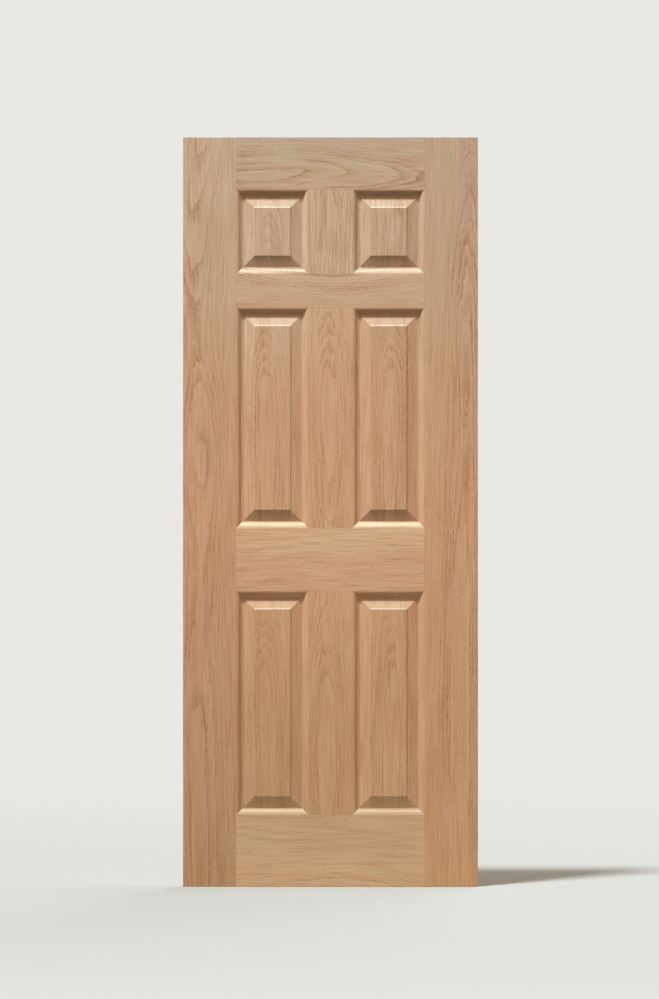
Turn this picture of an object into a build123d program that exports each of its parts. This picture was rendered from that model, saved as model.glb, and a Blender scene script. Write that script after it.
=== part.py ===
"""A six-panel oak front door leaf, stile-and-rail construction.

Two full-height stiles, four rails and three mullions frame six floating panels, alike on
both faces. An ogee moulding with a panel groove behind it is run along every inner edge.
Each rail end is scribed over the stiles' moulding, and each mullion end over the rails',
with a stub tongue in the groove and glued dowels across the shoulder. The panels are
raised and fielded: a tongue, a narrow flat, a long bevel and a small cove up to the field.

Millimetres. X runs across the leaf, Y through it and Z up. The origin is the middle of
the bottom edge, and the front face is at -Y.
"""

import os
from math import cos, pi, sin

from build123d import *

# The leaf
leaf_width = 826.0
leaf_height = 2100.0
leaf_thickness = 44.0
arris_radius = 1.5  # the eased edges of the two faces

# Face widths of the frame members, to the outer line of their mouldings
stile_face = 148.0
top_rail_face = 146.0
frieze_rail_face = 93.0
lock_rail_face = 175.0
bottom_rail_face = 201.0
mullion_face = 121.5

# Heights of the panel openings; the bottom one takes what is left of the leaf
top_opening = 238.5
middle_opening = 618.5

# The ogee moulding and the panel groove behind it
moulding_width = 19.5  # from the face edge to the lip
crest_width = 12.0  # the rounded part of that, next to the face; the rest is hollow
moulding_drop = 9.0  # from the face to the lip
lip_edge = 1.0  # the blunt edge of the lip, at the mouth of the groove
groove_depth = 12.0  # from the lip to the groove's floor
tongue_gap = 1.0  # glue room between a stub tongue and the groove's floor

# The raised and fielded panels
flat_width = 1.0  # from the lip to the foot of the bevel
bevel_width = 26.0
cove_width = 5.5  # from the top of the bevel to the arris of the field
cove_rise = 3.2
field_setback = 0.7  # from the frame's face back to the panel's field
tongue_fit = 0.1  # on each face of the panel's tongue
side_gap = 3.0  # room for the panel to swell across its grain
head_gap = 2.0  # above the panel; its foot sits on the groove's floor

# The dowels, centred on the floor of the groove that their joint's tongue enters
dowel_radius = 8.0
dowel_flutes = 8
flute_depth = 0.8
dowel_chamfer = 1.2
rail_dowel_length = 140.0
mullion_dowel_length = 76.0
dowel_fit = 0.05  # round a dowel, in its hole
glue_room = 2.0  # past each end of a dowel, in its hole

# How many dowels each rail's shoulders have, and their pitch
top_rail_dowel_count = 2
top_rail_dowel_pitch = 68.0
frieze_rail_dowel_count = 2
frieze_rail_dowel_pitch = 46.0
lock_rail_dowel_count = 2
lock_rail_dowel_pitch = 90.0
bottom_rail_dowel_count = 3
bottom_rail_dowel_pitch = 60.0

# Places worked out from the sizes above
half_thickness = leaf_thickness / 2
half_groove = half_thickness - moulding_drop - lip_edge
tongue_half = half_groove - tongue_fit
field_half = half_thickness - field_setback
floor_line = moulding_width - groove_depth  # the groove's floor, past the face edge
stile_line = leaf_width / 2 - stile_face  # the stiles' inner face edges, at + and - X
stile_floor = stile_line - floor_line  # the floors of the stiles' grooves, at + and - X
opening_width = stile_line - mullion_face / 2
column_x = (mullion_face + opening_width) / 2

top_rail_z = leaf_height - top_rail_face
frieze_rail_z = top_rail_z - top_opening - frieze_rail_face
lock_rail_z = frieze_rail_z - middle_opening - lock_rail_face

# Each rail's lower and upper face edge
RAILS = {
    "top_rail": (top_rail_z, leaf_height),
    "frieze_rail": (frieze_rail_z, frieze_rail_z + frieze_rail_face),
    "lock_rail": (lock_rail_z, lock_rail_z + lock_rail_face),
    "bottom_rail": (0.0, bottom_rail_face),
}

RAIL_DOWELS = {
    "top_rail": (top_rail_dowel_count, top_rail_dowel_pitch),
    "frieze_rail": (frieze_rail_dowel_count, frieze_rail_dowel_pitch),
    "lock_rail": (lock_rail_dowel_count, lock_rail_dowel_pitch),
    "bottom_rail": (bottom_rail_dowel_count, bottom_rail_dowel_pitch),
}

# Each opening's lower and upper rail
OPENINGS = {
    "top": ("frieze_rail", "top_rail"),
    "middle": ("lock_rail", "frieze_rail"),
    "bottom": ("bottom_rail", "lock_rail"),
}

SIDES = {"left": -1, "right": 1}

ACROSS = Plane(origin=(0, 0, 0), x_dir=(0, 0, 1), z_dir=(1, 0, 0))  # sections of a rail
ALONG = Plane.XY  # sections of a stile, a mullion or a panel's long edge


def ogee(side):
    """The moulding's curve from the face edge to the lip, on the face that side names."""
    crest_drop = moulding_drop * crest_width / moulding_width
    start = (0, side * half_thickness)
    middle = (crest_width, side * (half_thickness - crest_drop))
    end = (moulding_width, side * (half_thickness - moulding_drop))
    crest = TangentArc(start, middle, tangent=(1, 0))
    return crest + TangentArc(middle, end, tangent=crest % 1)


def moulded_strip():
    """The section past a member's face edge: both lips, with the groove between them."""
    lip = half_thickness - moulding_drop
    groove = Polyline(
        (moulding_width, lip),
        (moulding_width, half_groove),
        (floor_line, half_groove),
        (floor_line, -half_groove),
        (moulding_width, -half_groove),
        (moulding_width, -lip),
    )
    back = Line((0, -half_thickness), (0, half_thickness))
    return make_face(ogee(1) + groove + ogee(-1) + back)


def member_section(low, high, moulded_low, moulded_high):
    """A frame member's section: a body from low to high, moulded on the edges asked for."""
    section = Pos((low + high) / 2, 0) * Rectangle(high - low, leaf_thickness)
    strip = moulded_strip()
    if moulded_high:
        section += Pos(high, 0) * strip
    if moulded_low:
        section += Pos(low, 0) * strip.mirror(Plane.YZ)
    return section


def leaf_envelope():
    """The whole leaf, with the edges of both faces eased."""
    block = Pos(0, 0, leaf_height / 2) * Box(leaf_width, leaf_thickness, leaf_height)
    face_edges = block.edges().filter_by(Axis.X) + block.edges().filter_by(Axis.Z)
    return fillet(face_edges, arris_radius)


def stile_blank(side):
    """A stile before drilling, at -X or +X."""
    low, high = sorted((side * stile_line, side * leaf_width / 2))
    section = member_section(low, high, side > 0, side < 0)
    return extrude(ALONG * section, leaf_height)


def rail_blank(name):
    """A rail before scribing and drilling, reaching to the middle of each stile.

    The top and bottom rails are moulded on one edge only.
    """
    low, high = RAILS[name]
    section = member_section(low, high, low > 0, high < leaf_height)
    return extrude(ACROSS * section, stile_line + stile_face / 2, both=True)


def mullion_blank(opening):
    """A mullion before scribing and drilling, reaching to the middle of both rails."""
    lower, upper = OPENINGS[opening]
    bottom, top = sum(RAILS[lower]) / 2, sum(RAILS[upper]) / 2
    section = member_section(-mullion_face / 2, mullion_face / 2, True, True)
    return Pos(0, 0, bottom) * extrude(ALONG * section, top - bottom)


def opening_z(opening):
    """The lower and upper face edges of an opening."""
    lower, upper = OPENINGS[opening]
    return RAILS[lower][1], RAILS[upper][0]


def mullion_floors(opening):
    """The heights of the groove floors below and above a mullion."""
    low, high = opening_z(opening)
    return {"lower": low + floor_line, "upper": high - floor_line}


def rail_joints(name, side):
    """Where the dowels of one rail shoulder are centred and which way they lie."""
    centre = sum(RAILS[name]) / 2
    count, pitch = RAIL_DOWELS[name]
    heights = [centre + pitch * (i - (count - 1) / 2) for i in range(count)]
    return [Pos(side * stile_floor, 0, z) * Rot(0, 90, 0) for z in heights]


def fluted_dowel(length):
    """A dowel up Z from its middle: straight flutes, and a chamfer at each end."""
    points = []
    for i in range(2 * dowel_flutes):
        radius = dowel_radius - flute_depth * (i % 2)
        angle = pi * i / dowel_flutes
        points.append((radius * cos(angle), radius * sin(angle)))
    section = make_face(Polyline(*points, close=True))
    rod = extrude(Pos(0, 0, -length / 2) * section, length)
    ends = rod.faces().filter_by(Axis.Z)
    return chamfer(ends.edges(), dowel_chamfer)


def dowel_hole(length):
    """The hole for a dowel up Z from its middle, with glue room past both its ends."""
    return Cylinder(dowel_radius + dowel_fit, length + 2 * glue_room)


def stile(side, envelope):
    """A stile with its dowel holes."""
    body = stile_blank(side) & envelope
    for name in RAILS:
        body -= [joint * dowel_hole(rail_dowel_length) for joint in rail_joints(name, side)]
    return body


def rail(name, stiles, envelope):
    """A rail scribed over both stiles' mouldings, with its dowel holes."""
    low, high = RAILS[name]
    body = (rail_blank(name) & envelope) - stiles
    room = Box(tongue_gap, 2 * half_groove, high - low + 2 * moulding_width)
    for side in SIDES.values():
        body -= Pos(side * (stile_floor - tongue_gap / 2), 0, (low + high) / 2) * room
        body -= [joint * dowel_hole(rail_dowel_length) for joint in rail_joints(name, side)]
    for opening, rails in OPENINGS.items():
        if name in rails:
            for z in mullion_floors(opening).values():
                body -= Pos(0, 0, z) * dowel_hole(mullion_dowel_length)
    return body


def mullion(opening, rail_blanks):
    """A mullion scribed over both rails' mouldings, with its dowel holes."""
    body = mullion_blank(opening)
    for name in OPENINGS[opening]:
        body -= rail_blanks[name]
    room = Box(mullion_face + 2 * moulding_width, 2 * half_groove, tongue_gap)
    floors = mullion_floors(opening)
    body -= Pos(0, 0, floors["lower"] + tongue_gap / 2) * room
    body -= Pos(0, 0, floors["upper"] - tongue_gap / 2) * room
    for z in floors.values():
        body -= Pos(0, 0, z) * dowel_hole(mullion_dowel_length)
    return body


def fielding_cutter(length):
    """What the fielding takes off one edge of a panel's face, along Z.

    X is 0 at the lip and grows towards the field; Y is 0 on the panel's middle plane.
    """
    knee = flat_width + bevel_width
    arris = (knee + cove_width, field_half)
    outside, above = -groove_depth, half_thickness
    flat = Line((outside, tongue_half), (flat_width, tongue_half))
    bevel = Line(flat @ 1, (knee, field_half - cove_rise))
    cove = TangentArc(bevel @ 1, arris, tangent=bevel % 1)
    waste = Polyline(arris, (arris[0], above), (outside, above), flat @ 0)
    profile = make_face(flat + bevel + cove + waste)
    return extrude(ALONG * profile, length / 2, both=True)


def panel(opening, side):
    """A raised and fielded panel, seated on the floor of its bottom groove."""
    low, high = opening_z(opening)
    bottom, top = low + floor_line, high - floor_line - head_gap
    width, height = opening_width - 2 * (floor_line + side_gap), top - bottom
    body = Pos(side * column_x, 0, (bottom + top) / 2) * Box(width, 2 * field_half, height)

    lip_x, lip_z = opening_width / 2 - moulding_width, (high - low) / 2 - moulding_width
    upright = Pos(-lip_x, 0, 0) * fielding_cutter(height + 2 * groove_depth)
    level = Pos(0, 0, lip_z) * Rot(0, 90, 0) * fielding_cutter(width + 2 * groove_depth)
    centre = Pos(side * column_x, 0, (low + high) / 2)
    for cutter in (upright, level):
        for turned in (cutter, cutter.mirror(Plane.XZ)):
            body -= centre * turned
            body -= centre * Rot(0, 180, 0) * turned
    return body


def build():
    """Every sub-part of the leaf by its name."""
    envelope = leaf_envelope()
    stile_blanks = stile_blank(-1) + stile_blank(1)
    rail_blanks = {name: rail_blank(name) for name in RAILS}
    parts = {f"{label}_stile": stile(side, envelope) for label, side in SIDES.items()}
    for name in RAILS:
        parts[name] = rail(name, stile_blanks, envelope)
        for label, side in SIDES.items():
            dowels = [j * fluted_dowel(rail_dowel_length) for j in rail_joints(name, side)]
            parts[f"{name}_{label}_dowels"] = Compound(dowels)
    for opening in OPENINGS:
        parts[f"{opening}_mullion"] = mullion(opening, rail_blanks)
        for label, z in mullion_floors(opening).items():
            dowel = Pos(0, 0, z) * fluted_dowel(mullion_dowel_length)
            parts[f"{opening}_mullion_{label}_dowel"] = dowel
        for label, side in SIDES.items():
            parts[f"{opening}_{label}_panel"] = panel(opening, side)
    return parts


if __name__ == "__main__":
    os.makedirs("parts", exist_ok=True)
    for name, shape in build().items():
        export_step(shape, f"parts/{name}.step")
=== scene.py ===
import math
from functools import partial

import bmesh
import bpy
from mathutils import Euler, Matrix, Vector


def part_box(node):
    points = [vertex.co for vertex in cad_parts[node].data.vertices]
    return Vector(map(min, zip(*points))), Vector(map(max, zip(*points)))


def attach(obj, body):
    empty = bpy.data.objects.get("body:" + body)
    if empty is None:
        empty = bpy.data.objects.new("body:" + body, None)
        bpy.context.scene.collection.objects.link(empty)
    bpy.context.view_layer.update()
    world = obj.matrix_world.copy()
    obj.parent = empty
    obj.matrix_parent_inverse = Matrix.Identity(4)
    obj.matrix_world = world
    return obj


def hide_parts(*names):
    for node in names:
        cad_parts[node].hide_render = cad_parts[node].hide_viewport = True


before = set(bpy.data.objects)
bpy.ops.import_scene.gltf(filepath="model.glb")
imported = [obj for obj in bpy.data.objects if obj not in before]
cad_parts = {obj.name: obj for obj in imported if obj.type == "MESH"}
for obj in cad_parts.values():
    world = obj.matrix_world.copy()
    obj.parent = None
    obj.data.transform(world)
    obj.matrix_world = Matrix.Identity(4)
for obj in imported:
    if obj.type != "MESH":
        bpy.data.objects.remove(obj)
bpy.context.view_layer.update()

MM = 0.001


def linear(hex_colour):
    """An sRGB hex colour as the linear RGBA that the nodes take."""
    def channel(value):
        return value / 12.92 if value <= 0.04045 else ((value + 0.055) / 1.055) ** 2.4
    parts = [int(hex_colour[i:i + 2], 16) / 255 for i in (0, 2, 4)]
    return (*[channel(part) for part in parts], 1.0)


def node(tree, kind, inputs=(), **settings):
    """Adds a node with its settings. inputs feeds its open sockets, in their order or by name. Each takes
    a value, a socket, or another node, which stands for its first open output."""
    made = tree.nodes.new(kind)
    for name, value in settings.items():
        setattr(made, name, value)
    if isinstance(inputs, dict):
        fed = [(made.inputs[name], value) for name, value in inputs.items()]
    else:
        fed = zip([socket for socket in made.inputs if socket.enabled], inputs)
    for socket, value in fed:
        if isinstance(value, bpy.types.Node):
            value = next(output for output in value.outputs if output.enabled)
        if isinstance(value, bpy.types.NodeSocket):
            tree.links.new(value, socket)
        else:
            socket.default_value = value
    return made


SMOOTH = {"interpolation_type": "SMOOTHSTEP"}

# The patterns in wood: mm across the grain and along it, then octaves of finer detail and how much they
# count, where those aren't the usual 2 and 0.5.
HEART_DRIFT = (70, 420)        # slow bends of the trunk
RING_RIPPLE = (16, 110)        # small waves in the growth rings
RING_JAG = (5, 30)             # and the jagged edge that they have close to
QUIET_PATCH = (34, 230)        # where the years' bands fade out and come back
FEATHER = (2.2, 10, 2, 0.6)    # rows of pores, which break up the edge of a year's band
WARM_CLOUD = (34, 300, 3)      # broad pinkish clouds in the tan
FLAME = (9, 150)               # soft reddish flames
FIBRE = (2.6, 110, 4, 0.6)     # bundles of fibres, the fine straight streaks
PORE = (1.2, 7, 1)             # open pores, drawn three times as coarse as they are so that they show
FLECK = (1.2, 1.2)             # the dark flecks of beech

# How many mm the first three move the rings.
RING_MOVES = ((HEART_DRIFT, 10), (RING_RIPPLE, 6), (RING_JAG, 2.6))

# Where a pattern counts, as (from, to, least, most). Without the last two it goes from nothing to all.
FEATHER_SHOWS = (0.3, 0.62, 0.35, 1.3)
PATCH_SHOWS = (0.32, 0.62, 0.35, 1.0)
CLOUDS_SHOW = (0.35, 0.7, 0.0, 0.5)
FLAMES_SHOW = (0.48, 0.72, 0.0, 0.75)
FIBRES_SHOW = (0.46, 0.72)
PALE_FIBRES_SHOW = (0.47, 0.3, 0.0, 0.28)
PORES_SHOW = (0.58, 0.7)
PORES_BY_SEASON = (0.0, 0.7, 0.35, 1.0)    # closest together in the spring wood
PORES_DARKEN = 0.55

# Growth rings, or years. An old tree's years are thin, so they grow narrow on the way out from the heart.
FIRST_YEARS = 50 * MM          # from the heart, where a year is as wide as the board's rings says
NARROWING = 1.8                # the power by which they grow narrow from there
BLURRED_YEARS = (55 * MM, 95 * MM, 1.0, 0.5)    # from the heart, where they are so thin that they blur
SPELL = 22 * MM                # dry and wet years come in spells this wide
SPELL_YEARS = 2.4              # and shift the rings by this many years
YEAR_STRENGTH = (0.0, 1.0, 0.2, 1.0)    # some years are faint
YEAR_FADES = (0.0, 1.0, 0.7, 3.2)       # some bands are broad, and some thin
YEAR_EDGE = (0.0, 0.1)         # the share of a year in which its band sets in

PIN_KNOT = (1.4, 3.2)          # mm, half the width and height of the dark speck of a twig that never grew
PIN_KNOT_SPACING = 130         # mm: one in each cube of this size, of which the face cuts a few
PIN_KNOT_CORE = 0.4            # the share of it that is darkest
PIN_KNOT_SHOWS = 0.75
RAY = (0.7, 16, 22)            # mm: rays are this thick, tall along the grain, and deep towards the heart
RAY_RADIUS = 90                # mm from the heart, where they are as thick as that
RAYS_SHOW = (0.72, 0.8, 0.0, 0.2)

# A slanting cut across the fibres, as at the ends of a panel, and end grain are told from how far the face
# looks along the grain. A slanting cut shows years and fibres more strongly, and is pale and grey.
SLANT = (0.12, 0.3)
SLANT_FIGURE = 0.3
SLANT_STREAKS = 0.2
SLANT_PALENESS = 0.26
END_GRAIN = (0.75, 0.97, 0.0, 0.75)
# where a moulding's ledge, facing up or down, gets painted shade that tones down its highlight
LEDGE = (0.25, 0.45)           # how far up or down a face looks that is a moulding's ledge
# the leaf's top and bottom edges, facing straight up or down, get painted shade against the glare of the
# lamp above
EDGE = 0.95                    # and one that is the leaf's top or bottom edge
# painted shade in the hairline joint where a rail or mullion meets its neighbour
SHOULDER_SHADE_LINE = (0.3 * MM, 0.8 * MM, 0.5, 0.0)    # drawn 0.6 mm wide on each board, so that it shows

# The planed face: fibres stand a little proud, pores and spring wood lie low, and spring wood is rougher.
FIBRES_STAND = 0.35
PORES_LIE = -1.0
SPRING_WOOD_LIES = -0.25
GRAIN_DEPTH = 0.12 * MM
GRAIN_STRENGTH = 0.6
PLANED_ROUGHNESS = 0.5
SPRING_WOOD_ROUGHER = 0.12
WOOD_IOR = 1.5
BARE_WOOD_GLOSS = 0.35

SUMMER_WOOD = linear("E6C8A2")
WARM_STRIPE = linear("E2B592")
FLAME_BROWN = linear("CC9468")
SPRING_WOOD = linear("AF7C49")
PALE_FIBRE = linear("F2DABA")
PORE_BROWN = linear("8E623C")
KNOT_BROWN = linear("6B4630")
RAY_BROWN = linear("9A6A40")
CUT_FIBRES = linear("D8D0BE")
# painted shade: a cool grey laid on a moulding's ledges, which tones down their highlights
LEDGE_PAINTED_SHADE = linear("E6EBEE")
# painted shade: a dull grey that darkens the leaf's top and bottom edges, which the lamp above lights too
# strongly
EDGE_PAINTED_SHADE = linear("C0B4A6")
END_GRAIN_BROWN = linear("86705A")
# painted shade in the hairline of a joint at a shoulder
SHOULDER_SHADE_BROWN = linear("5E4028")
NO_TONE_OR_SHADE = linear("FFFFFF")
BEECH = linear("D9B592")
BEECH_FLECK = linear("BC916B")
BEECH_ROUGHNESS = 0.6


def grain_noise(tree, place, across, along, detail=2, roughness=0.5):
    """Noise with features of this many mm across the grain and along it."""
    scale = (1 / (across * MM), 1 / (across * MM), 1 / (along * MM))
    scaled = node(tree, "ShaderNodeVectorMath", (place, scale), operation="MULTIPLY")
    return node(tree, "ShaderNodeTexNoise",
                {"Vector": scaled, "Scale": 1.0, "Detail": detail, "Roughness": roughness})


def sawn_oak():
    """Red oak, planed and sanded, bare. Ring-porous wood: each year starts with a band of open pores, which
    reads as a darker, feathered band with one sharp edge, and fades into smooth tan summer wood. The rings
    go round the tree's heart, which wanders in and out behind the board, so where it comes nearer or goes
    deeper the face shows nested arches, and far from it straight lines. Place is the board's own straight
    place in metres, with z along the grain, and Heart is where the heart lies from the board's middle."""
    tree = bpy.data.node_groups.new("sawn_oak", "ShaderNodeTree")
    for name, kind, value in (
            ("Place", "NodeSocketVector", None),
            ("Heart", "NodeSocketVector", None),
            ("Grain Shift", "NodeSocketVector", None),
            ("Ring Width", "NodeSocketFloat", 6 * MM),
            ("Figure", "NodeSocketFloat", 1.0),
            ("Streaks", "NodeSocketFloat", 0.4),
            ("Head Cast", "NodeSocketColor", NO_TONE_OR_SHADE),
            ("Middle Cast", "NodeSocketColor", NO_TONE_OR_SHADE),
            ("Foot Cast", "NodeSocketColor", NO_TONE_OR_SHADE),
            ("Up", "NodeSocketFloat", 0.5),
            ("End Grain", "NodeSocketFloat", 0.0),
            ("Ledge", "NodeSocketFloat", 0.0),
            ("Sawn Edge", "NodeSocketFloat", 0.0),
            ("Shoulder", "NodeSocketFloat", 1.0)):
        socket = tree.interface.new_socket(name, in_out="INPUT", socket_type=kind)
        if value is not None:
            socket.default_value = value
    for name, kind in (("Color", "NodeSocketColor"), ("Roughness", "NodeSocketFloat"),
                       ("Height", "NodeSocketFloat")):
        tree.interface.new_socket(name, in_out="OUTPUT", socket_type=kind)
    add = partial(node, tree)
    given = add("NodeGroupInput").outputs
    shifted = add("ShaderNodeVectorMath", (given["Place"], given["Grain Shift"]), operation="ADD")

    # the heart wanders, and the rings ripple
    place = add("ShaderNodeVectorMath", (given["Place"], given["Heart"]), operation="SUBTRACT")
    for pattern, reach in RING_MOVES:
        wave = grain_noise(tree, shifted, *pattern).outputs["Color"]
        wave = add("ShaderNodeVectorMath", (wave, (0.5, 0.5, 0.5)), operation="SUBTRACT")
        wave = add("ShaderNodeVectorMath", (wave, (reach * MM, reach * MM, 0)), operation="MULTIPLY")
        place = add("ShaderNodeVectorMath", (place, wave), operation="ADD")
    across = add("ShaderNodeVectorMath", (place, (1, 1, 0)), operation="MULTIPLY")
    radius = add("ShaderNodeVectorMath", (across,), operation="LENGTH")

    # years, counted from the heart, wide and narrow
    age = add("ShaderNodeMath", (radius, FIRST_YEARS), operation="DIVIDE")
    age = add("ShaderNodeMath", (age, NARROWING), operation="POWER")
    age = add("ShaderNodeMath", (age, FIRST_YEARS / NARROWING), operation="MULTIPLY")
    age = add("ShaderNodeMath", (age, given["Ring Width"]), operation="DIVIDE")
    spell = add("ShaderNodeMath", (radius, SPELL), operation="DIVIDE")
    spell = add("ShaderNodeTexNoise", {"W": spell, "Scale": 1.0, "Detail": 2.0}, noise_dimensions="1D")
    spell = add("ShaderNodeMath", (spell, 0.5), operation="SUBTRACT")
    years = add("ShaderNodeMath", (spell, SPELL_YEARS, age), operation="MULTIPLY_ADD")

    # the spring wood: each year's dark band, strong or faint, broad or thin
    year = add("ShaderNodeMath", (years,), operation="FLOOR")
    luck = add("ShaderNodeTexWhiteNoise", {"W": year}, noise_dimensions="1D")
    other_luck = add("ShaderNodeSeparateXYZ", (luck.outputs["Color"],)).outputs["Y"]
    fading = add("ShaderNodeMapRange", (other_luck, *YEAR_FADES), **SMOOTH)
    season = add("ShaderNodeMath", (years,), operation="FRACT")
    spring = add("ShaderNodeMath", (1.0, season), operation="SUBTRACT")
    spring = add("ShaderNodeMath", (spring, fading), operation="POWER")
    for value, window in ((season, YEAR_EDGE), (luck, YEAR_STRENGTH),
                          (grain_noise(tree, shifted, *FEATHER), FEATHER_SHOWS),
                          (grain_noise(tree, shifted, *QUIET_PATCH), PATCH_SHOWS),
                          (radius, BLURRED_YEARS)):
        part = add("ShaderNodeMapRange", (value, *window), **SMOOTH)
        spring = add("ShaderNodeMath", (spring, part), operation="MULTIPLY")

    # how much the years and the fibres show
    slant = add("ShaderNodeMapRange", (given["End Grain"], *SLANT), **SMOOTH)
    figure = add("ShaderNodeMath", (slant, SLANT_FIGURE, 1.0), operation="MULTIPLY_ADD")
    figure = add("ShaderNodeMath", (given["Figure"], figure), operation="MULTIPLY")
    bands = add("ShaderNodeMath", (spring, figure), operation="MULTIPLY")
    clouds = add("ShaderNodeMapRange", (grain_noise(tree, shifted, *WARM_CLOUD), *CLOUDS_SHOW), **SMOOTH)
    flames = add("ShaderNodeMapRange", (grain_noise(tree, shifted, *FLAME), *FLAMES_SHOW), **SMOOTH)
    flames = add("ShaderNodeMath", (flames, given["Streaks"]), operation="MULTIPLY")
    fibres = grain_noise(tree, shifted, *FIBRE)
    pale_fibres = add("ShaderNodeMapRange", (fibres, *PALE_FIBRES_SHOW), **SMOOTH)
    streaks = add("ShaderNodeMath", (slant, SLANT_STREAKS, given["Streaks"]), operation="MULTIPLY_ADD")
    dark_fibres = add("ShaderNodeMapRange", (fibres, *FIBRES_SHOW), **SMOOTH)
    dark_fibres = add("ShaderNodeMath", (dark_fibres, streaks), operation="MULTIPLY")

    # pores, closest together in the spring wood
    pores = add("ShaderNodeMapRange", (grain_noise(tree, shifted, *PORE), *PORES_SHOW), **SMOOTH)
    crowd = add("ShaderNodeMapRange", (spring, *PORES_BY_SEASON), **SMOOTH)
    pores = add("ShaderNodeMath", (pores, crowd), operation="MULTIPLY")
    dark_pores = add("ShaderNodeMath", (pores, PORES_DARKEN), operation="MULTIPLY")

    # pin knots
    thin, long = (size / PIN_KNOT_SPACING for size in PIN_KNOT)
    stretch = Vector((1, 1, thin / long)) / (PIN_KNOT_SPACING * MM)
    knot = add("ShaderNodeVectorMath", (shifted, stretch), operation="MULTIPLY")
    knot = add("ShaderNodeTexVoronoi", {"Vector": knot, "Scale": 1.0})
    knot = add("ShaderNodeMapRange", (knot, thin, PIN_KNOT_CORE * thin, 0.0, PIN_KNOT_SHOWS), **SMOOTH)

    # rays stand on edge towards the heart: short dark dashes on a flat-sawn face, flakes on a quartered one
    thick, tall, deep = RAY
    at = add("ShaderNodeSeparateXYZ", (place,)).outputs
    out = add("ShaderNodeMath", (radius, deep * MM), operation="DIVIDE")
    turn = add("ShaderNodeMath", (at["X"], at["Y"]), operation="ARCTAN2")
    turn = add("ShaderNodeMath", (turn, RAY_RADIUS / thick), operation="MULTIPLY")
    along = add("ShaderNodeMath", (at["Z"], tall * MM), operation="DIVIDE")
    sheet = add("ShaderNodeCombineXYZ", (out, turn, along))
    sheet = add("ShaderNodeVectorMath", (sheet, given["Grain Shift"]), operation="ADD")
    rays = add("ShaderNodeTexNoise", {"Vector": sheet, "Scale": 1.0, "Detail": 0.0})
    rays = add("ShaderNodeMapRange", (rays, *RAYS_SHOW), **SMOOTH)

    # the tone of this board from its foot to its head: partly the wood's own tone, and partly painted shade
    # that darkens it towards the foot
    lower_half = add("ShaderNodeMath", (given["Up"], 2.0), operation="MULTIPLY")
    upper_half = add("ShaderNodeMath", (given["Up"], 2.0, -1.0), operation="MULTIPLY_ADD")
    tone_and_shade = add("ShaderNodeMix", (lower_half, given["Foot Cast"], given["Middle Cast"]), data_type="RGBA")
    tone_and_shade = add("ShaderNodeMix", (upper_half, tone_and_shade, given["Head Cast"]), data_type="RGBA")

    # fibres cut at a slant look pale, painted shade tones down the ledges of a moulding and the leaf's top
    # and bottom edges, end grain drinks the light, and a hair's breadth of painted shade marks the joint at
    # a shoulder
    cut = add("ShaderNodeMath", (slant, SLANT_PALENESS), operation="MULTIPLY")
    end_grain = add("ShaderNodeMapRange", (given["End Grain"], *END_GRAIN), **SMOOTH)
    shoulder_shade_line = add("ShaderNodeMapRange", (given["Shoulder"], *SHOULDER_SHADE_LINE), **SMOOTH)
    colour = SUMMER_WOOD
    for amount, paint, blend_type in (
            (clouds, WARM_STRIPE, "MIX"),
            (flames, FLAME_BROWN, "MIX"),
            (bands, SPRING_WOOD, "MIX"),
            (dark_fibres, SPRING_WOOD, "MIX"),
            (pale_fibres, PALE_FIBRE, "MIX"),
            (dark_pores, PORE_BROWN, "MIX"),
            (knot, KNOT_BROWN, "MIX"),
            (rays, RAY_BROWN, "MIX"),
            (1.0, tone_and_shade, "MULTIPLY"),
            (cut, CUT_FIBRES, "MIX"),
            (given["Ledge"], LEDGE_PAINTED_SHADE, "MULTIPLY"),
            (given["Sawn Edge"], EDGE_PAINTED_SHADE, "MULTIPLY"),
            (end_grain, END_GRAIN_BROWN, "MIX"),
            (shoulder_shade_line, SHOULDER_SHADE_BROWN, "MIX")):
        colour = add("ShaderNodeMix", (amount, colour, paint), data_type="RGBA", blend_type=blend_type)

    height = add("ShaderNodeMath", (pores, PORES_LIE), operation="MULTIPLY")
    height = add("ShaderNodeMath", (fibres, FIBRES_STAND, height), operation="MULTIPLY_ADD")
    height = add("ShaderNodeMath", (spring, SPRING_WOOD_LIES, height), operation="MULTIPLY_ADD")
    rough = add("ShaderNodeMath", (spring, SPRING_WOOD_ROUGHER, PLANED_ROUGHNESS), operation="MULTIPLY_ADD")
    add("NodeGroupOutput", {"Color": colour, "Roughness": rough, "Height": height})
    return tree
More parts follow.
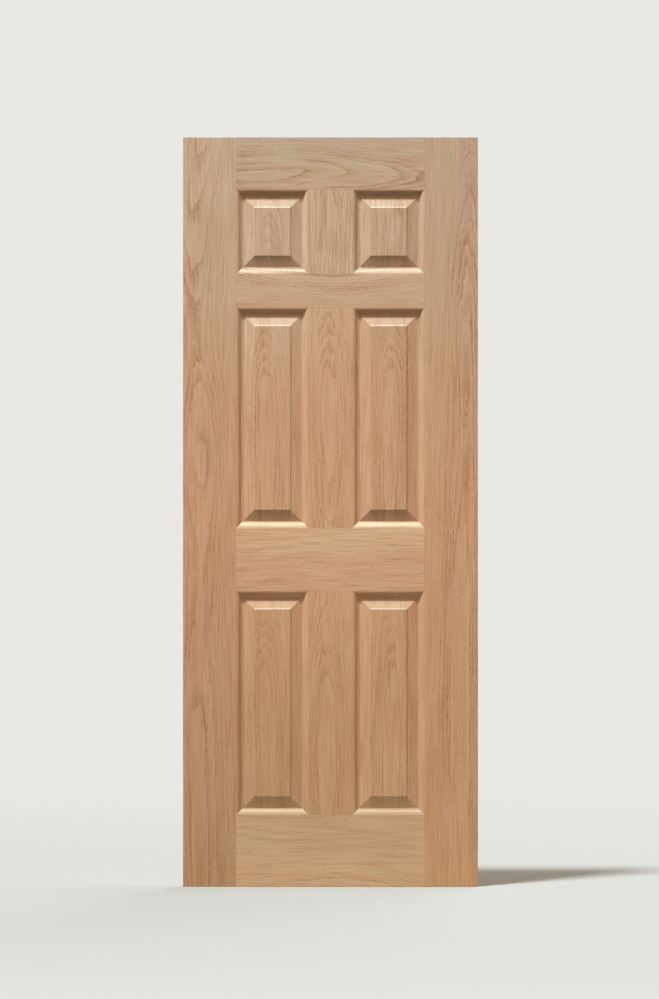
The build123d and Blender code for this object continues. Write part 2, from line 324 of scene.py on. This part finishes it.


# How each board was cut, and how it is tinted. lean: degrees that the fibres run off the edge. rings: mm to
# a
# year near the heart. figure and streaks: how strongly the years and the fibres show. shift: which stretch
# of
# the endless grain it has. tone_and_shade: its tone at the head, middle and foot, partly the wood's own and
# partly painted shade that darkens the lower boards and the feet of the long ones. heart: the line of the
# tree's heart behind the face, as mm along the leaf (up from the foot, or right from the middle on a rail),
# mm across from the board's middle (right, or down on a rail) and mm deep.
BOARDS = {
    "left_stile": dict(
        grain="Z", lean=0.2, rings=7.5, figure=0.8, streaks=0.4, shift=1,
        tone_and_shade=("E7F0FC", "EEDDDB", "C4BBB3"),
        heart=((0, -38, 38), (300, -44, 39), (430, -44, 41), (560, -44, 48), (660, -42, 56), (860, -36, 58),
               (1000, -32, 56), (1100, -32, 48), (1190, -32, 42), (1290, -33, 49), (1380, -35, 57),
               (1530, -44, 68), (1671, -50, 63), (1778, -50, 56), (1859, -52, 48), (1994, -38, 38),
               (2100, -24, 28))),
    "right_stile": dict(
        grain="Z", lean=-0.3, rings=4.8, figure=1.08, streaks=0.28, shift=2,
        tone_and_shade=("E0E7F4", "EFDFDB", "D2C6BB"),
        heart=((0, 34, 36), (400, 36, 39), (800, 39, 41), (930, 39, 45), (1000, 42, 47), (1300, 48, 48),
               (1550, 50, 50), (1700, 52, 55), (1850, 54, 64), (2000, 57, 75), (2100, 58, 85))),
    "top_rail": dict(
        grain="X", lean=-0.3, rings=7.5, figure=0.95, streaks=0.35, shift=18,
        tone_and_shade=("E1EBFE", "E3ECF9", "E5E3EB"),
        heart=((-265, 28, 31), (-120, 23, 31.6), (-21, 12, 40), (72, 20, 50), (189, 21, 59),
               (265, 21, 67))),
    "frieze_rail": dict(
        grain="X", lean=-0.3, rings=6.5, figure=1.05, streaks=0.25, shift=4,
        tone_and_shade=("F0F1FF", "EEEFF7", "E9E5E7"),
        heart=((-265, -92, 42), (-130, -70, 40), (0, -60, 40), (130, -70, 40), (265, -92, 42))),
    "lock_rail": dict(
        grain="X", lean=0.4, rings=12.0, figure=0.5, streaks=0.5, shift=5,
        tone_and_shade=("FDFFFF", "F4E9ED", "EDE0DF"),
        heart=((-265, -150, 60), (0, -142, 60), (265, -158, 60))),
    "bottom_rail": dict(
        grain="X", lean=-0.5, rings=8.0, figure=0.62, streaks=0.35, shift=6,
        tone_and_shade=("D9D5D3", "D8D8DA", "DBDADA"),
        heart=((-265, 150, 40), (-60, 118, 40), (60, 112, 40), (265, 150, 44))),
    "top_mullion": dict(
        grain="Z", lean=0.6, rings=5.0, figure=0.75, streaks=0.6, shift=7,
        tone_and_shade=("EEF4FF",),
        heart=((1715, -4, 40), (1830, 4, 42), (1954, 0, 47))),
    "middle_mullion": dict(
        grain="Z", lean=0.3, rings=4.8, figure=0.68, streaks=0.4, shift=8,
        tone_and_shade=("F2F0F6", "F2E2E4", "F3E4E0"),
        heart=((1000, -2, 54), (1080, -2, 48), (1162, -2, 45), (1240, -2, 42), (1380, -2, 41),
               (1458, -2, 46), (1531, -2, 53), (1622, -2, 63))),
    "bottom_mullion": dict(
        grain="Z", lean=-0.3, rings=5.0, figure=0.8, streaks=0.3, shift=9,
        tone_and_shade=("F0E2DF", "DED1C8", "D5CAC3"),
        heart=((200, -12, 46), (300, -10, 42), (540, -10, 44), (620, -12, 49), (705, -8, 55),
               (829, -6, 64))),
    "top_left_panel": dict(
        grain="Z", lean=0.5, rings=4.6, figure=0.55, streaks=0.4, shift=10,
        tone_and_shade=("EAEEFA",),
        heart=((1715, -12, 42), (1760, -14, 46), (1830, -14, 54), (1900, -8, 63), (1954, -6, 72))),
    "top_right_panel": dict(
        grain="Z", lean=-0.4, rings=5.2, figure=0.7, streaks=0.5, shift=11,
        tone_and_shade=("EAECF7",),
        heart=((1715, 20, 48), (1830, 22, 51), (1954, 26, 58))),
    "middle_left_panel": dict(
        grain="Z", lean=0.3, rings=5.2, figure=0.68, streaks=0.3, shift=12,
        tone_and_shade=("F0F2FA", "EEDFE0", "EFE1DD"),
        heart=((1010, -12, 48), (1120, -12, 45), (1400, -14, 46), (1440, -15, 50), (1501, -17, 57),
               (1557, -18, 64), (1622, -18, 74))),
    "middle_right_panel": dict(
        grain="Z", lean=-0.2, rings=5.2, figure=0.8, streaks=0.4, shift=13,
        tone_and_shade=("EAE4E9", "F0E1E1", "EDDFDE"),
        heart=((1010, 4, 48), (1110, 4, 45), (1410, 8, 46), (1460, 8, 49), (1531, 8, 57), (1622, 8, 68))),
    "bottom_left_panel": dict(
        grain="Z", lean=0.2, rings=5.2, figure=0.6, streaks=0.3, shift=14,
        tone_and_shade=("EBDAD4", "DBD2CA", "CFC4BE"),
        heart=((201, -14, 47), (300, -14, 45), (600, -22, 48), (660, -24, 53), (719, -24, 60),
               (829, -20, 73))),
    "bottom_right_panel": dict(
        grain="Z", lean=0.4, rings=5.2, figure=0.65, streaks=0.4, shift=15,
        tone_and_shade=("EEE0DC", "DFD2C9", "D7CCC7"),
        heart=((201, 4, 47), (300, 4, 45), (600, 10, 49), (657, 12, 54), (733, 9, 61), (829, 8, 72))),
}
# mm from a board's middle to its shoulders: where a rail meets the stiles, or a mullion meets the rails.
SHOULDERS = {"top_rail": 265, "frieze_rail": 265, "lock_rail": 265, "bottom_rail": 265,
             "top_mullion": 119.25, "middle_mullion": 309.25, "bottom_mullion": 314}
HALF_THICKNESS = 22      # mm
HEART_REACH = 400        # mm, the most that a heart's curve can span
PANEL_RELIEF = 0.1       # the share of a panel's relief that bends its figure, which stays nearly straight
SHIFT = (3.7, 1.9, 5.3)  # metres from one stretch of the endless grain to the next


def board_material(name, oak, grain, lean, rings, figure, streaks, shift, tone_and_shade, heart):
    """The oak of one board, set by where in the tree the board was cut."""
    low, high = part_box(name)
    middle = (low + high) / 2
    axis = "XYZ".index(grain)
    length = (high - low)[axis]
    height = (high - low).z
    relief = PANEL_RELIEF if name.endswith("panel") else 1.0
    material = bpy.data.materials.new("oak_" + name)
    material.use_nodes = True
    material.node_tree.nodes.clear()
    add = partial(node, material.node_tree)

    # the board's own straight place, with the grain along z and the face at y = 0
    turn = Euler((0, math.radians(lean - (90 if grain == "X" else 0)), 0))
    move = -(turn.to_matrix() @ middle)
    move.y = relief * HALF_THICKNESS * MM
    position = add("ShaderNodeTexCoord").outputs["Object"]
    place = add("ShaderNodeMapping", {"Vector": position, "Location": move, "Rotation": turn,
                                      "Scale": (1, relief, 1)})
    at = add("ShaderNodeSeparateXYZ", (position,)).outputs
    from_middle = add("ShaderNodeMath", (at[grain], middle[axis]), operation="SUBTRACT")
    along = add("ShaderNodeMath", (from_middle, 1 / length, 0.5), operation="MULTIPLY_ADD")
    up = add("ShaderNodeMath", (at["Z"], low.z), operation="SUBTRACT")
    up = add("ShaderNodeMath", (up, 1 / height), operation="MULTIPLY")

    # the line of the heart, across and deep
    wander = []
    for which in (1, 2):
        points = [((stop[0] * MM - low[axis]) / length, stop[which] / HEART_REACH + 0.5)
                  for stop in heart]
        line = add("ShaderNodeFloatCurve", {"Value": along})
        curve = line.mapping.curves[0]
        curve.points[0].location = points[0]
        curve.points[1].location = points[-1]
        for point in points[1:-1]:
            curve.points.new(*point)
        line.mapping.update()
        bend = add("ShaderNodeMath", (line, 0.5), operation="SUBTRACT")
        wander.append(add("ShaderNodeMath", (bend, HEART_REACH * MM), operation="MULTIPLY"))

    normal = add("ShaderNodeNewGeometry").outputs["Normal"]
    facing = add("ShaderNodeSeparateXYZ", (normal,)).outputs
    upright = add("ShaderNodeMath", (facing["Z"],), operation="ABSOLUTE")
    inputs = {"Place": place,
              "Heart": add("ShaderNodeCombineXYZ", wander),
              "Grain Shift": [shift * step for step in SHIFT],
              "Ring Width": rings * MM,
              "Figure": figure,
              "Streaks": streaks,
              # the board's tone at its head, middle and foot: partly its own, partly painted shade that is
              # darker towards the foot
              "Head Cast": linear(tone_and_shade[0]),
              "Middle Cast": linear(tone_and_shade[len(tone_and_shade) // 2]),
              "Foot Cast": linear(tone_and_shade[-1]),
              "Up": up,
              "End Grain": add("ShaderNodeMath", (facing[grain],), operation="ABSOLUTE"),
              # painted shade on the ledges of the mouldings and on the leaf's top and bottom edges
              "Ledge": add("ShaderNodeMapRange", (upright, *LEDGE)),
              "Sawn Edge": add("ShaderNodeMath", (upright, EDGE), operation="GREATER_THAN")}
    if name in SHOULDERS:
        shoulder = SHOULDERS[name] * MM
        from_middle = add("ShaderNodeMath", (from_middle,), operation="ABSOLUTE")
        inputs["Shoulder"] = add("ShaderNodeMath", (shoulder, from_middle), operation="SUBTRACT")
    wood = add("ShaderNodeGroup", inputs, node_tree=oak).outputs
    bump = add("ShaderNodeBump",
               {"Height": wood["Height"], "Strength": GRAIN_STRENGTH, "Distance": GRAIN_DEPTH})
    surface = add("ShaderNodeBsdfPrincipled",
                  {"Base Color": wood["Color"], "Roughness": wood["Roughness"], "Normal": bump,
                   "IOR": WOOD_IOR, "Specular IOR Level": BARE_WOOD_GLOSS})
    add("ShaderNodeOutputMaterial", (surface,))
    return material


def turned_beech():
    """Beech dowel rod, glued and out of sight: even pale pink-brown with short dark flecks."""
    material = bpy.data.materials.new("turned_beech")
    material.use_nodes = True
    material.node_tree.nodes.clear()
    add = partial(node, material.node_tree)
    position = add("ShaderNodeTexCoord").outputs["Object"]
    flecks = grain_noise(material.node_tree, position, *FLECK)
    colour = add("ShaderNodeMix", (flecks, BEECH, BEECH_FLECK), data_type="RGBA")
    surface = add("ShaderNodeBsdfPrincipled", {"Base Color": colour, "Roughness": BEECH_ROUGHNESS})
    add("ShaderNodeOutputMaterial", (surface,))
    return material


# The raised and fielded panel's section, in mm: the same sizes as the solid's, with its arris eased as
# sanding does.
TONGUE_SIDE = 9.0        # from the lip of the groove in to the panel's edge, at each side
TONGUE_FOOT = 12.0
TONGUE_HEAD = 10.0
TONGUE_DEPTH = 11.9      # from the middle of the thickness
FLAT = 1.0
BEVEL = 26.0
COVE = 5.5
COVE_RISE = 3.2
FIELD_DEPTH = 21.3       # from the middle of the thickness
EASING = 0.5
COVE_STEPS = 12
EASING_STEPS = 4
LEAST_STEP = 0.05


def panel_section():
    """Half of the panel's section, from the field out to the tongue: steps of (mm in from the lip, mm from
    the middle of the thickness, 1 at the panel's own edge and 0 elsewhere)."""
    foot = Vector((FLAT, TONGUE_DEPTH))
    knee = Vector((FLAT + BEVEL, FIELD_DEPTH - COVE_RISE))
    arris = Vector((knee.x + COVE, FIELD_DEPTH))
    slope = math.atan2(knee.y - foot.y, knee.x - foot.x)
    chord = arris - knee
    bend = math.atan2(chord.y, chord.x) - slope
    radius = chord.length / (2 * math.sin(bend))
    cove = []
    for step in range(COVE_STEPS + 1):
        heading = slope + 2 * bend * step / COVE_STEPS
        cove.append(knee + radius * Vector((math.sin(heading) - math.sin(slope),
                                            math.cos(slope) - math.cos(heading))))
    last = slope + 2 * bend
    start = arris - EASING * Vector((math.cos(last), math.sin(last)))
    end = arris + EASING * Vector((1, 0))
    eased = []
    for step in range(EASING_STEPS + 1):
        part = step / EASING_STEPS
        eased.append(start * (1 - part) ** 2 + arris * 2 * part * (1 - part) + end * part ** 2)
    line = [foot, *[point for point in cove if point.x < start.x - LEAST_STEP], *eased]
    steps = [(point.x, point.y, 0) for point in reversed(line)]
    return [*steps, (0, TONGUE_DEPTH, 0), (0, TONGUE_DEPTH, 1)]


def section_object():
    """The whole section as a row of points, front face first, for the tree to read."""
    front = [(inset, -depth, edge) for inset, depth, edge in panel_section()]
    back = [(inset, -depth, edge) for inset, depth, edge in reversed(front)]
    mesh = bpy.data.meshes.new("panel_section")
    mesh.from_pydata([Vector(point) for point in front + back], [], [])
    return bpy.data.objects.new("panel_section", mesh)


def raised_panel_tree():
    """Runs a section round a rectangle, mitred at its four corners, and closes it with the two fields."""
    tree = bpy.data.node_groups.new("raised_panel", "GeometryNodeTree")
    for name, kind in (("Section", "NodeSocketObject"), ("Steps", "NodeSocketInt"),
                       ("Sight Low", "NodeSocketVector"), ("Sight High", "NodeSocketVector"),
                       ("Edge Low", "NodeSocketVector"), ("Edge High", "NodeSocketVector"),
                       ("Wood", "NodeSocketMaterial")):
        tree.interface.new_socket(name, in_out="INPUT", socket_type=kind)
    tree.interface.new_socket("Panel", in_out="OUTPUT", socket_type="NodeSocketGeometry")
    add = partial(node, tree)
    given = add("NodeGroupInput").outputs

    # a four-sided tube from z = -0.5 to 0.5, with one ring of corners for each step of the section
    gaps = add("ShaderNodeMath", (given["Steps"], 1), operation="SUBTRACT")
    tube = add("GeometryNodeMeshCylinder",
               {"Vertices": 4, "Side Segments": gaps, "Fill Segments": 1, "Radius": 1.0, "Depth": 1.0})
    position = add("GeometryNodeInputPosition")
    at = add("ShaderNodeSeparateXYZ", (position,)).outputs
    ring = add("ShaderNodeMath", (at["Z"], 0.5), operation="ADD")
    ring = add("ShaderNodeMath", (ring, gaps), operation="MULTIPLY")
    ring = add("ShaderNodeMath", (ring,), operation="ROUND")
    section = add("GeometryNodeObjectInfo", {"Object": given["Section"]}).outputs["Geometry"]
    point = add("GeometryNodeSampleIndex", {"Geometry": section, "Value": position, "Index": ring},
                data_type="FLOAT_VECTOR", domain="POINT")
    point = add("ShaderNodeVectorMath", (point, (MM, MM, 1)), operation="MULTIPLY")
    inset, depth, on_edge = add("ShaderNodeSeparateXYZ", (point,)).outputs

    # each corner lies at its two sides' sight lines, moved in by the step's inset, or at the panel's edge
    diagonals = (add("ShaderNodeMath", (at["X"], at["Y"]), operation="ADD"),
                 add("ShaderNodeMath", (at["Y"], at["X"]), operation="SUBTRACT"))
    corners = {key: add("ShaderNodeSeparateXYZ", (given[key],)).outputs
               for key in ("Sight Low", "Sight High", "Edge Low", "Edge High")}
    places = []
    for axis, diagonal in zip("XZ", diagonals):
        ends = []
        for end, inwards in (("Low", "ADD"), ("High", "SUBTRACT")):
            sight_line = corners["Sight " + end][axis]
            sight_line = add("ShaderNodeMath", (sight_line, inset), operation=inwards)
            edge = corners["Edge " + end][axis]
            ends.append(add("GeometryNodeSwitch", (on_edge, sight_line, edge), input_type="FLOAT"))
        far = add("ShaderNodeMath", (diagonal, 0), operation="GREATER_THAN")
        places.append(add("GeometryNodeSwitch", (far, *ends), input_type="FLOAT"))
    place = add("ShaderNodeCombineXYZ", (places[0], depth, places[1]))
    shaped = add("GeometryNodeSetPosition", {"Geometry": tube, "Position": place})
    whole = add("GeometryNodeRealizeInstances", (shaped,))
    finished = add("GeometryNodeSetMaterial", {"Geometry": whole, "Material": given["Wood"]})
    add("NodeGroupOutput", (finished,))
    return tree


def make_panel(name, tree, section, wood):
    """One raised panel in place of its solid, which it matches size for size."""
    low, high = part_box(name)
    sight_low = low + Vector((TONGUE_SIDE, 0, TONGUE_FOOT)) * MM
    sight_high = high - Vector((TONGUE_SIDE, 0, TONGUE_HEAD)) * MM
    piece = bpy.data.objects.new(name.replace("panel", "raised_panel"), bpy.data.meshes.new(name))
    bpy.context.scene.collection.objects.link(piece)
    modifier = piece.modifiers.new("raised_panel", "NODES")
    modifier.node_group = tree
    sockets = {item.name: item.identifier for item in tree.interface.items_tree if item.in_out == "INPUT"}
    for key, value in (("Section", section), ("Steps", len(section.data.vertices)),
                       ("Sight Low", sight_low), ("Sight High", sight_high),
                       ("Edge Low", low), ("Edge High", high), ("Wood", wood)):
        modifier[sockets[key]] = value
    bpy.context.view_layer.update()
    depsgraph = bpy.context.evaluated_depsgraph_get()
    mesh = bpy.data.meshes.new_from_object(piece.evaluated_get(depsgraph))
    piece.modifiers.clear()
    piece.data = mesh
    shell = bmesh.new()
    shell.from_mesh(mesh)
    bmesh.ops.recalc_face_normals(shell, faces=shell.faces)
    shell.to_mesh(mesh)
    shell.free()
    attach(piece, "root")
    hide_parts(name)


def dress_boards():
    """Gives each board its oak and each dowel its beech, and makes the raised panels."""
    oak = sawn_oak()
    beech = turned_beech()
    section = section_object()
    tree = raised_panel_tree()
    for name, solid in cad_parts.items():
        material = board_material(name, oak, **BOARDS[name]) if name in BOARDS else beech
        for slot in solid.material_slots:
            slot.material = material
        if name.endswith("panel"):
            make_panel(name, tree, section, material)


# The studio, in metres.
CAMERA_DISTANCE = 14.0
VIEW_HEIGHT = 2.798                # what fills the photograph's height
VIEW_MIDDLE = (-0.0027, 1.0847)    # right from the leaf's middle, and up from its foot
LEAF_FACE = 0.022
LEAF_MIDDLE = Vector((0, 0, 1.05))

BACKDROP = linear("E9E8E4")
FLOOR = linear("9A9995")
FLOOR_RADIUS = 6.0
FLOOR_FADE = (1.2, 5.0)            # from the leaf, where the floor fades into the backdrop
BOUNCE_FADE = (0.4, 2.0, 1.0, 0.0)    # from the leaf, where the light that the floor throws up fades
NEAR_BOUNCE = linear("A0917C")
FAR_BOUNCE = linear("30302F")
WARM_SKY = (0.50, 0.346, 0.24, 1)
LAMPLIGHT = (0.86, 0.955, 1.0)     # cool by as much as the sky is warm, so that both together are white

# Each lamp's name, direction from the leaf, distance, W/m2 on the leaf, and degrees that it looks wide.
LAMPS = (("key", (-0.235, -0.276, 0.93), 26, 6.2, 8),
         ("back_light", (0.35, 0.80, 0.45), 12, 1.9, 35),
         ("edge_light", (0.90, 0.25, 0.35), 12, 1.6, 30))


def make_camera():
    """Square on to the face from far away, as the photograph is."""
    camera = bpy.data.cameras.new("camera")
    camera.sensor_fit = "VERTICAL"
    camera.sensor_height = 24
    camera.lens = camera.sensor_height * CAMERA_DISTANCE / VIEW_HEIGHT
    camera.clip_end = 100
    placed = bpy.data.objects.new("camera", camera)
    placed.location = (VIEW_MIDDLE[0], -LEAF_FACE - CAMERA_DISTANCE, VIEW_MIDDLE[1])
    placed.rotation_euler = (math.radians(90), 0, 0)
    bpy.context.scene.collection.objects.link(placed)
    bpy.context.scene.camera = placed


def make_lamps():
    """A high key lamp at the left, and soft light on the back and the right edge. Each is a disc."""
    for name, towards, distance, strength, spread in LAMPS:
        lamp = bpy.data.lights.new(name, "AREA")
        lamp.shape = "DISK"
        lamp.size = 2 * distance * math.tan(math.radians(spread / 2))
        lamp.energy = strength * math.pi * distance ** 2
        lamp.color = LAMPLIGHT
        placed = bpy.data.objects.new(name, lamp)
        away = Vector(towards).normalized()
        placed.location = LEAF_MIDDLE + away * distance
        placed.rotation_euler = away.to_track_quat("Z", "Y").to_euler()
        placed.visible_camera = False
        bpy.context.scene.collection.objects.link(placed)


def make_sky():
    """An even warm sky, which the camera sees as a pale backdrop."""
    world = bpy.data.worlds.new("studio")
    world.use_nodes = True
    world.node_tree.nodes.clear()
    add = partial(node, world.node_tree)
    seen = add("ShaderNodeLightPath").outputs["Is Camera Ray"]
    sky = add("ShaderNodeBackground", {"Color": WARM_SKY, "Strength": 1.0})
    backdrop = add("ShaderNodeBackground", {"Color": BACKDROP, "Strength": 1.0})
    shown = add("ShaderNodeMixShader", (seen, sky, backdrop))
    add("ShaderNodeOutputWorld", (shown,))
    bpy.context.scene.world = world


def make_floor():
    """A pale floor that fades into the backdrop and throws up less light further away from the leaf."""
    bpy.ops.mesh.primitive_circle_add(vertices=96, radius=FLOOR_RADIUS, fill_type="NGON")
    floor = bpy.context.object
    floor.name = "floor"
    material = bpy.data.materials.new("pale_floor")
    material.use_nodes = True
    material.node_tree.nodes.clear()
    add = partial(node, material.node_tree)
    seen = add("ShaderNodeLightPath").outputs["Is Camera Ray"]
    position = add("ShaderNodeTexCoord").outputs["Object"]
    reach = add("ShaderNodeVectorMath", (position,), operation="LENGTH")
    near = add("ShaderNodeMapRange", (reach, *BOUNCE_FADE))
    bounce = add("ShaderNodeMix", (near, FAR_BOUNCE, NEAR_BOUNCE), data_type="RGBA")
    shade = add("ShaderNodeMix", (seen, bounce, FLOOR), data_type="RGBA")
    matt = add("ShaderNodeBsdfDiffuse", {"Color": shade})
    glow = add("ShaderNodeEmission", {"Color": BACKDROP})
    fade = add("ShaderNodeMapRange", (reach, *FLOOR_FADE), **SMOOTH)
    fade = add("ShaderNodeMath", (fade, seen), operation="MULTIPLY")
    shown = add("ShaderNodeMixShader", (fade, matt, glow))
    add("ShaderNodeOutputMaterial", (shown,))
    floor.data.materials.append(material)


bpy.context.scene.view_settings.view_transform = "Standard"
make_camera()
make_lamps()
make_sky()
make_floor()
dress_boards()
